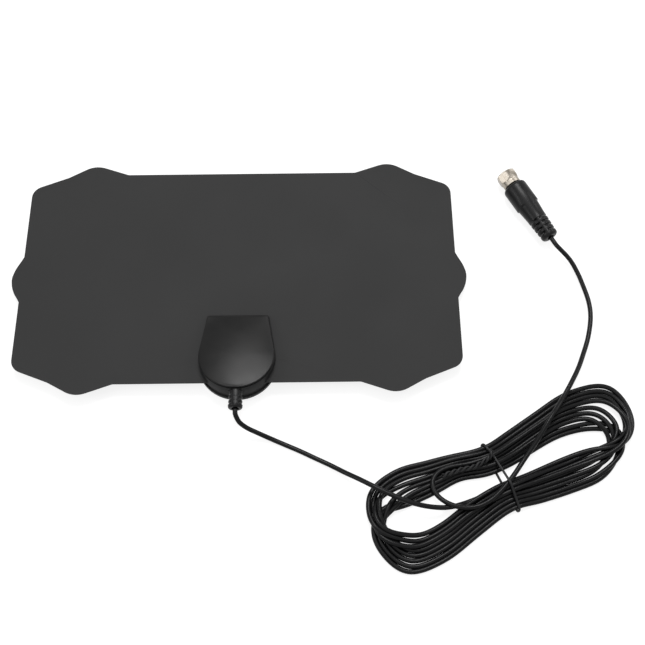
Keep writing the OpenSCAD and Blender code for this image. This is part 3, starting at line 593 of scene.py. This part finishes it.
dielectric = moulded("dielectric", (0.75, 0.75, 0.72), (0.82, 0.82, 0.8),
                     rough=0.5, grain=0.0003, mottle=0.003, bump=0.05)
tinned = moulded("tinned", (0.6, 0.6, 0.6), (0.72, 0.72, 0.72),
                 rough=0.35, grain=0.0002, mottle=0.002, bump=0.1, metallic=1.0)
finish_node("housing_screws", screw_black)
finish_node("contact_rivets", rivet_brass)
finish_node("circuit_board", board_green)
finish_node("balun_core", ferrite)
finish_node("balun_winding", copper)
finish_node("cable_dielectric", dielectric)
finish_node("cable_conductor", copper)
finish_node("braid_tail", tinned)

# ---- Strain relief
# A ribbed sleeve of soft black vinyl, moulded over the lead. A narrow spine runs through round ribs, so
# it bends sideways. Its neck passes through the near wall and a flange behind the wall holds it.
moulded_vinyl = moulded("moulded_vinyl", (0.0035, 0.0035, 0.0038), (0.0055, 0.0055, 0.0058),
                        rough=0.34, grain=0.0003, mottle=0.008, bump=0.08, specular=0.17)
lead_bore = 1.45


def round_rings(profile, sides=64):
    """Rings of a turned shape, from a list of (radius, height) along its axis."""
    a = np.linspace(0, 2 * math.pi, sides, endpoint=False)
    return [np.c_[radius * np.cos(a), radius * np.sin(a), np.full(sides, height)] for radius, height in profile]


def spine_rings(across, high, heights, sides=64):
    """Rings of a flat spine with rounded edges, bored for the lead, along a list of heights."""
    a = np.linspace(0, 2 * math.pi, sides, endpoint=False)
    x = across * np.sign(np.cos(a)) * np.abs(np.cos(a)) ** 0.55
    y = high * np.sin(a) * (0.85 + 0.15 * np.sin(a) ** 2)
    outer = [np.c_[x, y, np.full(sides, z)] for z in heights]
    return outer + round_rings([(lead_bore, z) for z in reversed(heights)], sides)


def tree_of(name, sizes):
    """A geometry tree with a named input for each size, and its first and last node."""
    tree = bpy.data.node_groups.new(name, "GeometryNodeTree")
    for label, kind in sizes:
        tree.interface.new_socket(label, in_out="INPUT", socket_type=kind)
    tree.interface.new_socket("Geometry", in_out="OUTPUT", socket_type="NodeSocketGeometry")
    return tree, tree.nodes.new("NodeGroupInput"), tree.nodes.new("NodeGroupOutput")


def grown(name, start, tree, sizes):
    """Runs a geometry tree on a start object with the given sizes, and keeps the result as a plain mesh."""
    growth = start.modifiers.new("growth", "NODES")
    growth.node_group = tree
    for item in tree.interface.items_tree:
        if item.in_out == "INPUT" and item.name in sizes:
            growth[item.identifier] = sizes[item.name]
    bpy.context.view_layer.update()
    return plain_mesh(name, start)


def sleeve_ribs_tree():
    """Round ribs with softened edges, set at an even pitch along a sleeve."""
    tree, enter, leave = tree_of("sleeve_ribs", [
        ("Geometry", "NodeSocketGeometry"), ("Rib Count", "NodeSocketInt"), ("Rib Pitch", "NodeSocketFloat"),
        ("First Rib", "NodeSocketFloat"), ("Rib Radius", "NodeSocketFloat"), ("Bore Radius", "NodeSocketFloat"),
        ("Rib Width", "NodeSocketFloat"), ("Edge Round", "NodeSocketFloat"), ("Finish", "NodeSocketMaterial")])

    def result_of(kind, a, b):
        node = tree.nodes.new("ShaderNodeMath")
        node.operation = kind
        for socket, value in zip(node.inputs, (a, b)):
            if isinstance(value, float):
                socket.default_value = value
            else:
                tree.links.new(value, socket)
        return node.outputs[0]

    hoop = tree.nodes.new("GeometryNodeCurvePrimitiveCircle")
    hoop.inputs["Resolution"].default_value = 64
    both = result_of("ADD", enter.outputs["Rib Radius"], enter.outputs["Bore Radius"])
    tree.links.new(result_of("MULTIPLY", both, 0.5), hoop.inputs["Radius"])
    section = tree.nodes.new("GeometryNodeCurvePrimitiveQuadrilateral")
    thickness = result_of("SUBTRACT", enter.outputs["Rib Radius"], enter.outputs["Bore Radius"])
    tree.links.new(thickness, section.inputs["Width"])
    tree.links.new(enter.outputs["Rib Width"], section.inputs["Height"])
    soften = tree.nodes.new("GeometryNodeFilletCurve")
    soften.mode = "POLY"
    soften.inputs["Count"].default_value = 4
    tree.links.new(section.outputs["Curve"], soften.inputs["Curve"])
    tree.links.new(enter.outputs["Edge Round"], soften.inputs["Radius"])
    rib = tree.nodes.new("GeometryNodeCurveToMesh")
    tree.links.new(hoop.outputs["Curve"], rib.inputs["Curve"])
    tree.links.new(soften.outputs["Curve"], rib.inputs["Profile Curve"])
    row = tree.nodes.new("GeometryNodeMeshLine")
    tree.links.new(enter.outputs["Rib Count"], row.inputs["Count"])
    for socket, value in (("Offset", "Rib Pitch"), ("Start Location", "First Rib")):
        along = tree.nodes.new("ShaderNodeCombineXYZ")
        tree.links.new(enter.outputs[value], along.inputs["Z"])
        tree.links.new(along.outputs[0], row.inputs[socket])
    place = tree.nodes.new("GeometryNodeInstanceOnPoints")
    tree.links.new(row.outputs["Mesh"], place.inputs["Points"])
    tree.links.new(rib.outputs["Mesh"], place.inputs["Instance"])
    real = tree.nodes.new("GeometryNodeRealizeInstances")
    tree.links.new(place.outputs["Instances"], real.inputs["Geometry"])
    finish = tree.nodes.new("GeometryNodeSetMaterial")
    tree.links.new(real.outputs["Geometry"], finish.inputs["Geometry"])
    tree.links.new(enter.outputs["Finish"], finish.inputs["Material"])
    tree.links.new(finish.outputs["Geometry"], leave.inputs["Geometry"])
    return tree


sleeve_ribs = sleeve_ribs_tree()


def ribs(name, count, first, pitch, radius, width, finish):
    """A row of round ribs, from the height of the first one up."""
    start = bpy.data.objects.new(name, bpy.data.meshes.new(name))
    bpy.context.scene.collection.objects.link(start)
    piece = grown(name, start, sleeve_ribs, {
        "Rib Count": count, "Rib Pitch": pitch, "First Rib": first, "Rib Radius": radius,
        "Bore Radius": lead_bore, "Rib Width": width, "Edge Round": 0.25, "Finish": finish})
    piece.data.shade_smooth()
    piece.data.set_sharp_from_angle(angle=math.radians(50))
    return piece


def one_piece(name, parts, place, material):
    """Joins parts that are moulded as one, and puts them where the piece belongs."""
    whole = bmesh.new()
    for part in parts:
        whole.from_mesh(part.data)
        bpy.data.objects.remove(part)
    where = place(np.array([v.co[:] for v in whole.verts]))
    for v, co in zip(whole.verts, where):
        v.co = co
    bmesh.ops.recalc_face_normals(whole, faces=whole.faces)
    mesh = bpy.data.meshes.new(name)
    whole.to_mesh(mesh)
    whole.free()
    mesh.materials.append(material)
    for face in mesh.polygons:
        face.material_index = 0
    piece = bpy.data.objects.new(name, mesh)
    bpy.context.scene.collection.objects.link(piece)
    return piece


relief_end_y = -87.8


def in_near_wall(p):
    """The sleeve stands on its free end while it is made: its axis then lies along the depth of the housing."""
    return in_housing(np.c_[p[:, 0], relief_end_y + p[:, 2], lead_height - p[:, 1]])


relief_parts = [
    ring_skin("free_end", round_rings([
        (lead_bore, 1.6), (1.9, 1.2), (2.0, 0.3), (2.25, 0.05), (2.9, 0), (3.5, 0.12), (3.9, 0.45), (4.1, 1.0),
        (4.15, 2.05), (4.0, 2.2), (lead_bore, 2.2)]), "joined"),
    ring_skin("spine", spine_rings(2.9, 3.85, (1.2, 2, 4, 6, 8, 10)), "joined"),
    ribs("sleeve_ribs", 2, 4.1, 2.55, 3.95, 1.2, moulded_vinyl),
    ring_skin("collar", round_rings([
        (lead_bore, 8.6), (3.5, 8.6), (3.68, 8.75), (3.7, 9.0), (3.7, 10.4), (2.4, 10.4), (2.4, 12.23),
        (3.0, 12.23), (3.0, 13.6), (lead_bore, 13.6)]), "joined"),
]
relief = one_piece("relief_sleeve", relief_parts, in_near_wall, moulded_vinyl)
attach(relief, "antenna")
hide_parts("strain_relief")

# ---- Twist tie
# One vinyl-covered steel wire, pulled tight round both sides of the hank. Its two ends are twisted
# together above the hank, and the twisted tail lies back on the strands.
tie_r = tie_d / 2


def hank_top(x, y, reach=0.0024):
    """Height of the top of the strands under a place on the hank."""
    near = lead_fine[np.hypot(lead_fine[:, 0] - x, lead_fine[:, 1] - y) < reach]
    return float(near[:, 2].max()) + lead_r if len(near) else lead_r


def pulled_round(points):
    """The tight loop round a set of points: their convex outline."""
    points = sorted(map(tuple, points))
    sides = []
    for run in (points, points[::-1]):
        side = []
        for p in run:
            while len(side) > 1 and ((side[-1][0] - side[-2][0]) * (p[1] - side[-2][1])
                                     - (side[-1][1] - side[-2][1]) * (p[0] - side[-2][0])) <= 0:
                side.pop()
            side.append(p)
        sides += side[:-1]
    return np.array(sides)


tie_side = np.array([tie_way[1], -tie_way[0]])
away = lead_fine[:, :2] - tie_middle
under_tie = (np.abs(away @ tie_side) < 0.0016) & (np.abs(away @ tie_way) < 0.03)
strands = np.c_[away @ tie_way, lead_fine[:, 2]][under_tie]
bend = np.radians(np.arange(0, 360, 20))
room = lead_r + tie_r
skirts = (strands[:, None] + room * np.stack([np.cos(bend), np.sin(bend)], 1)[None]).reshape(-1, 2)
skirts[:, 1] = np.maximum(skirts[:, 1], tie_r)
tight = pulled_round(skirts)
tight = np.vstack([tight, tight[:1]])
steps = np.r_[0, np.cumsum(np.linalg.norm(np.diff(tight, axis=0), axis=1))]
marks = np.linspace(0, steps[-1], 160)
tight = np.c_[np.interp(marks, steps, tight[:, 0]), np.interp(marks, steps, tight[:, 1])]
# The wire's upper side leans one way and its lower side the other. The knot is on the upper side, far out
lean = np.clip((tight[:, 1] - 0.0055) / 0.004, -1, 1) * -0.0014
tie_loop = np.c_[tie_middle + tight[:, :1] * tie_way + lean[:, None] * tie_side, tight[:, 1]]
knot = tie_loop[np.argmin(np.abs(tight[:, 0] + 0.0135) - (tight[:, 1] > 0.005) * 0.01)]
knot_at = np.argmin(np.linalg.norm(tie_loop - knot, axis=1))
tie_loop = np.roll(tie_loop[:-1], -knot_at, axis=0)
loop_line = smooth_route(np.vstack([knot + (0, 0, 0.0022), tie_loop[3:-3:3], knot + (-0.0006, 0, 0.0022)]), 4)
loop_wire = cord_curve("tie_loop", loop_line, tie_r, 3)
tail_plan = [(knot[0] + 0.0004, knot[1] + 0.0003), (knot[0] - 0.0016, knot[1] - 0.004)] + [
    (0.1355, -0.1125), (0.131, -0.1146), (0.126, -0.1154), (0.1215, -0.1167), (0.1172, -0.118), (0.1142, -0.1192)]
tail_height = [knot[2] + 0.0026, knot[2] + 0.0024] + [hank_top(x, y) + 0.0014 for x, y in tail_plan[2:]]
tail_line = smooth_route([(x, y, z) for (x, y), z in zip(tail_plan, tail_height)], 8)
tail_path = cord_curve("tie_tail", tail_line, 0, 0)


def twisted_pair_tree():
    """Two wires twisted about a path, each a round tube."""
    tree, enter, leave = tree_of("twisted_pair", [
        ("Geometry", "NodeSocketGeometry"), ("Turns", "NodeSocketFloat"), ("Strand Offset", "NodeSocketFloat"),
        ("Wire Radius", "NodeSocketFloat"), ("Finish", "NodeSocketMaterial")])
    steps = tree.nodes.new("GeometryNodeResampleCurve")
    steps.inputs["Count"].default_value = 150
    tree.links.new(enter.outputs["Geometry"], steps.inputs["Curve"])
    along = tree.nodes.new("GeometryNodeSplineParameter")
    across = tree.nodes.new("GeometryNodeInputNormal")
    ahead = tree.nodes.new("GeometryNodeInputTangent")
    beside = tree.nodes.new("ShaderNodeVectorMath")
    beside.operation = "CROSS_PRODUCT"
    tree.links.new(across.outputs[0], beside.inputs[0])
    tree.links.new(ahead.outputs[0], beside.inputs[1])
    angle = tree.nodes.new("ShaderNodeMath")
    angle.operation = "MULTIPLY"
    tree.links.new(along.outputs["Factor"], angle.inputs[0])
    tree.links.new(enter.outputs["Turns"], angle.inputs[1])
    section = tree.nodes.new("GeometryNodeCurvePrimitiveCircle")
    section.inputs["Resolution"].default_value = 12
    tree.links.new(enter.outputs["Wire Radius"], section.inputs["Radius"])
    pair = tree.nodes.new("GeometryNodeJoinGeometry")
    for phase in (0.0, math.pi):
        turned_by = tree.nodes.new("ShaderNodeMath")
        turned_by.operation = "MULTIPLY_ADD"
        turned_by.inputs[1].default_value = 2 * math.pi
        turned_by.inputs[2].default_value = phase
        tree.links.new(angle.outputs[0], turned_by.inputs[0])
        sides = []
        for wave, direction in (("COSINE", across.outputs[0]), ("SINE", beside.outputs[0])):
            share = tree.nodes.new("ShaderNodeMath")
            share.operation = wave
            tree.links.new(turned_by.outputs[0], share.inputs[0])
            step = tree.nodes.new("ShaderNodeVectorMath")
            step.operation = "SCALE"
            tree.links.new(direction, step.inputs[0])
            tree.links.new(share.outputs[0], step.inputs["Scale"])
            sides.append(step.outputs[0])
        both = tree.nodes.new("ShaderNodeVectorMath")
        both.operation = "ADD"
        tree.links.new(sides[0], both.inputs[0])
        tree.links.new(sides[1], both.inputs[1])
        out = tree.nodes.new("ShaderNodeVectorMath")
        out.operation = "SCALE"
        tree.links.new(both.outputs[0], out.inputs[0])
        tree.links.new(enter.outputs["Strand Offset"], out.inputs["Scale"])
        strand = tree.nodes.new("GeometryNodeSetPosition")
        tree.links.new(steps.outputs["Curve"], strand.inputs["Geometry"])
        tree.links.new(out.outputs[0], strand.inputs["Offset"])
        tube = tree.nodes.new("GeometryNodeCurveToMesh")
        tube.inputs["Fill Caps"].default_value = True
        tree.links.new(strand.outputs["Geometry"], tube.inputs["Curve"])
        tree.links.new(section.outputs["Curve"], tube.inputs["Profile Curve"])
        tree.links.new(tube.outputs["Mesh"], pair.inputs["Geometry"])
    real = tree.nodes.new("GeometryNodeRealizeInstances")
    tree.links.new(pair.outputs["Geometry"], real.inputs["Geometry"])
    finish = tree.nodes.new("GeometryNodeSetMaterial")
    tree.links.new(real.outputs["Geometry"], finish.inputs["Geometry"])
    tree.links.new(enter.outputs["Finish"], finish.inputs["Material"])
    tree.links.new(finish.outputs["Geometry"], leave.inputs["Geometry"])
    return tree


tie_vinyl = moulded("tie_vinyl", (0.006, 0.006, 0.0065), (0.010, 0.010, 0.0105),
                    rough=0.36, grain=0.0004, mottle=0.006, bump=0.1, specular=0.22)
tail = grown("tie_twist", tail_path, twisted_pair_tree(), {
    "Turns": 4.5, "Strand Offset": tie_r * 1.02, "Wire Radius": tie_r, "Finish": tie_vinyl})
tie = one_piece("twist_tie_wire", [plain_mesh("tie_loop", loop_wire), tail], lambda p: p, tie_vinyl)
tie.data.shade_smooth()
tie.data.set_sharp_from_angle(angle=math.radians(60))
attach(tie, "antenna")
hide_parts("twist_tie")

# ---- Plug
# A vinyl boot moulded round a turned, nickel-plated body. The boot is round at its tail, with slots
# from both sides, and swells to a block with side shoulders. The hexagonal nut turns on the body.
# The plating's colour is darkened and spread from dark to light by the mottle: painted dark reflections.
nickel_painted_reflections = moulded("nickel_painted_reflections", (0.19, 0.167, 0.138), (0.47, 0.43, 0.375),
                 rough=0.34, grain=0.0002, mottle=0.003, bump=0.08, metallic=1.0, rough_spread=0.2)
finish_node("plug_body", nickel_painted_reflections)
finish_node("plug_insulator", dielectric)
finish_node("plug_pin", copper)
boot_len, block_start, slots_end, spine_turn = 40.5, 24.8, 13.8, math.radians(16)
plug_side = np.array([plug_way[1], -plug_way[0], 0])


def on_plug(p):
    """The plug stands on its tail while it is made: x goes sideways, y upwards and z along the plug."""
    return plug_entry + 0.001 * (p[:, :1] * plug_side + p[:, 1:2] * (0, 0, 1) + p[:, 2:] * plug_way)


def turned_on_axis(p, angle):
    c, s = math.cos(angle), math.sin(angle)
    return np.c_[p[:, 0] * c - p[:, 1] * s, p[:, 0] * s + p[:, 1] * c, p[:, 2]]


def boot_ring(z, shrink=0.0, sides=72):
    """A ring of the boot: its flanks step out at the block, and its crest above and below swells slowly."""
    a = np.linspace(0, 2 * math.pi, sides, endpoint=False)
    flank = np.interp(z, (0, 16.4, block_start - 0.25, block_start + 0.2, boot_len), (5.2, 5.85, 6.6, 7.3, 7.3))
    crest = 5.6 + 1.7 * ease((z - 14.5) / 17)
    share = ease((np.abs(np.cos(a)) - 0.45) / 0.4)
    radius = flank * share + crest * (1 - share) - shrink
    return np.c_[radius * np.cos(a), radius * np.sin(a), np.full(sides, z)]


nose_r, body_r, body_foot = 2.2, 3.05, 28.4
nose = [(nose_r - nose_r * math.cos(t), nose_r * math.sin(t)) for t in np.linspace(0, math.pi / 2, 8)]
body_rings = [boot_ring(z) for z in (
    slots_end, 15, 16.4, 18, 20, 22, 24, 24.45, 24.6, 24.75, 24.9, 25.05, 25.4, 27, 29, 31, 33.5, 36)]
body_rings += [boot_ring(boot_len - nose_r + along, shrink) for shrink, along in nose]
body_rings += round_rings([(body_r, boot_len), (body_r, body_foot), (lead_bore, body_foot), (lead_bore, slots_end)], 72)
tail_end = ring_skin("tail_end", round_rings([
    (lead_bore, 1.8), (2.0, 1.4), (2.1, 0.35), (2.4, 0.08), (3.3, 0), (4.1, 0.2), (4.7, 0.62), (5.1, 1.3), (5.2, 2.0),
    (5.2, 2.9), (5.05, 3.05), (lead_bore, 3.05)]), "joined")
flat_spine = spine_rings(1.75, 5.35, (1.6, 4, 7, 10, 13, slots_end + 0.6))
boot_spine = ring_skin("boot_spine", [turned_on_axis(ring, spine_turn) for ring in flat_spine], "joined")
boot_ribs = ribs("boot_ribs", 3, 5.25, 3.1, 5.2, 1.95, moulded_vinyl)
widens = 0.011
for v in boot_ribs.data.vertices:
    if math.hypot(v.co.x, v.co.y) > 3:
        grow = 1 + widens * (v.co.z - 3)
        v.co.x, v.co.y = v.co.x * grow, v.co.y * grow
boot_body = ring_skin("boot_body", body_rings, "joined", 40)
boot = one_piece("moulded_boot", [tail_end, boot_spine, boot_ribs, boot_body], on_plug, moulded_vinyl)
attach(boot, "antenna")
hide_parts("plug_boot")

nut_start, nut_len, flats, nut_turn = boot_len + 0.4, 9.2, 11.0, math.radians(12)
collar_r, collar_len, cone_r = 5.45, 2.9, 5.5
thread_r, thread_depth, thread_pitch = 4.4, 0.28, 0.79


def nut_ring(z, cone, sides=144):
    """A hexagon that is cut back to a round of radius cone."""
    a = np.linspace(0, 2 * math.pi, sides, endpoint=False)
    to_flat = (a - nut_turn + math.pi / 6) % (math.pi / 3) - math.pi / 6
    radius = np.minimum(flats / 2 / np.cos(to_flat), cone)
    return np.c_[radius * np.cos(a), radius * np.sin(a), np.full(sides, nut_start + z)]


def thread_ring(z, sides=144):
    a = np.linspace(0, 2 * math.pi, sides, endpoint=False)
    depth = np.abs((z / thread_pitch - a / (2 * math.pi)) % 1 * 2 - 1) * thread_depth
    radius = thread_r + depth - thread_depth * (z > nut_len - 0.35)
    return np.c_[radius * np.cos(a), radius * np.sin(a), np.full(sides, nut_start + z)]


outside = [nut_ring(z, radius) for z, radius in (
    (0, 4.7), (0.1, 5.15), (0.3, 5.38), (0.5, collar_r), (collar_len, collar_r), (3.1, cone_r))]
outside += [nut_ring(z, cone_r + (z - 3.1) * 0.65) for z in np.linspace(3.3, 4.7, 12)]
outside += [nut_ring(z, flats) for z in (5, 6.5, 8)]
outside += [nut_ring(z, 5.4 + (nut_len - z) * 1.25) for z in np.linspace(8.4, nut_len - 0.08, 8)]
outside += [nut_ring(nut_len, 5.3), nut_ring(nut_len, 4.8)]
inside = [thread_ring(z) for z in np.arange(nut_len - 0.35, 1.45, -thread_pitch / 6)]
inside += [nut_ring(1.4, thread_r), nut_ring(1.4, 3.7), nut_ring(0, 3.7)]
nut = one_piece("coupling_nut_hex", [ring_skin("nut", outside + inside, "joined", 22)], on_plug, nickel_painted_reflections)
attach(nut, "coupling_nut")
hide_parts("plug_nut")
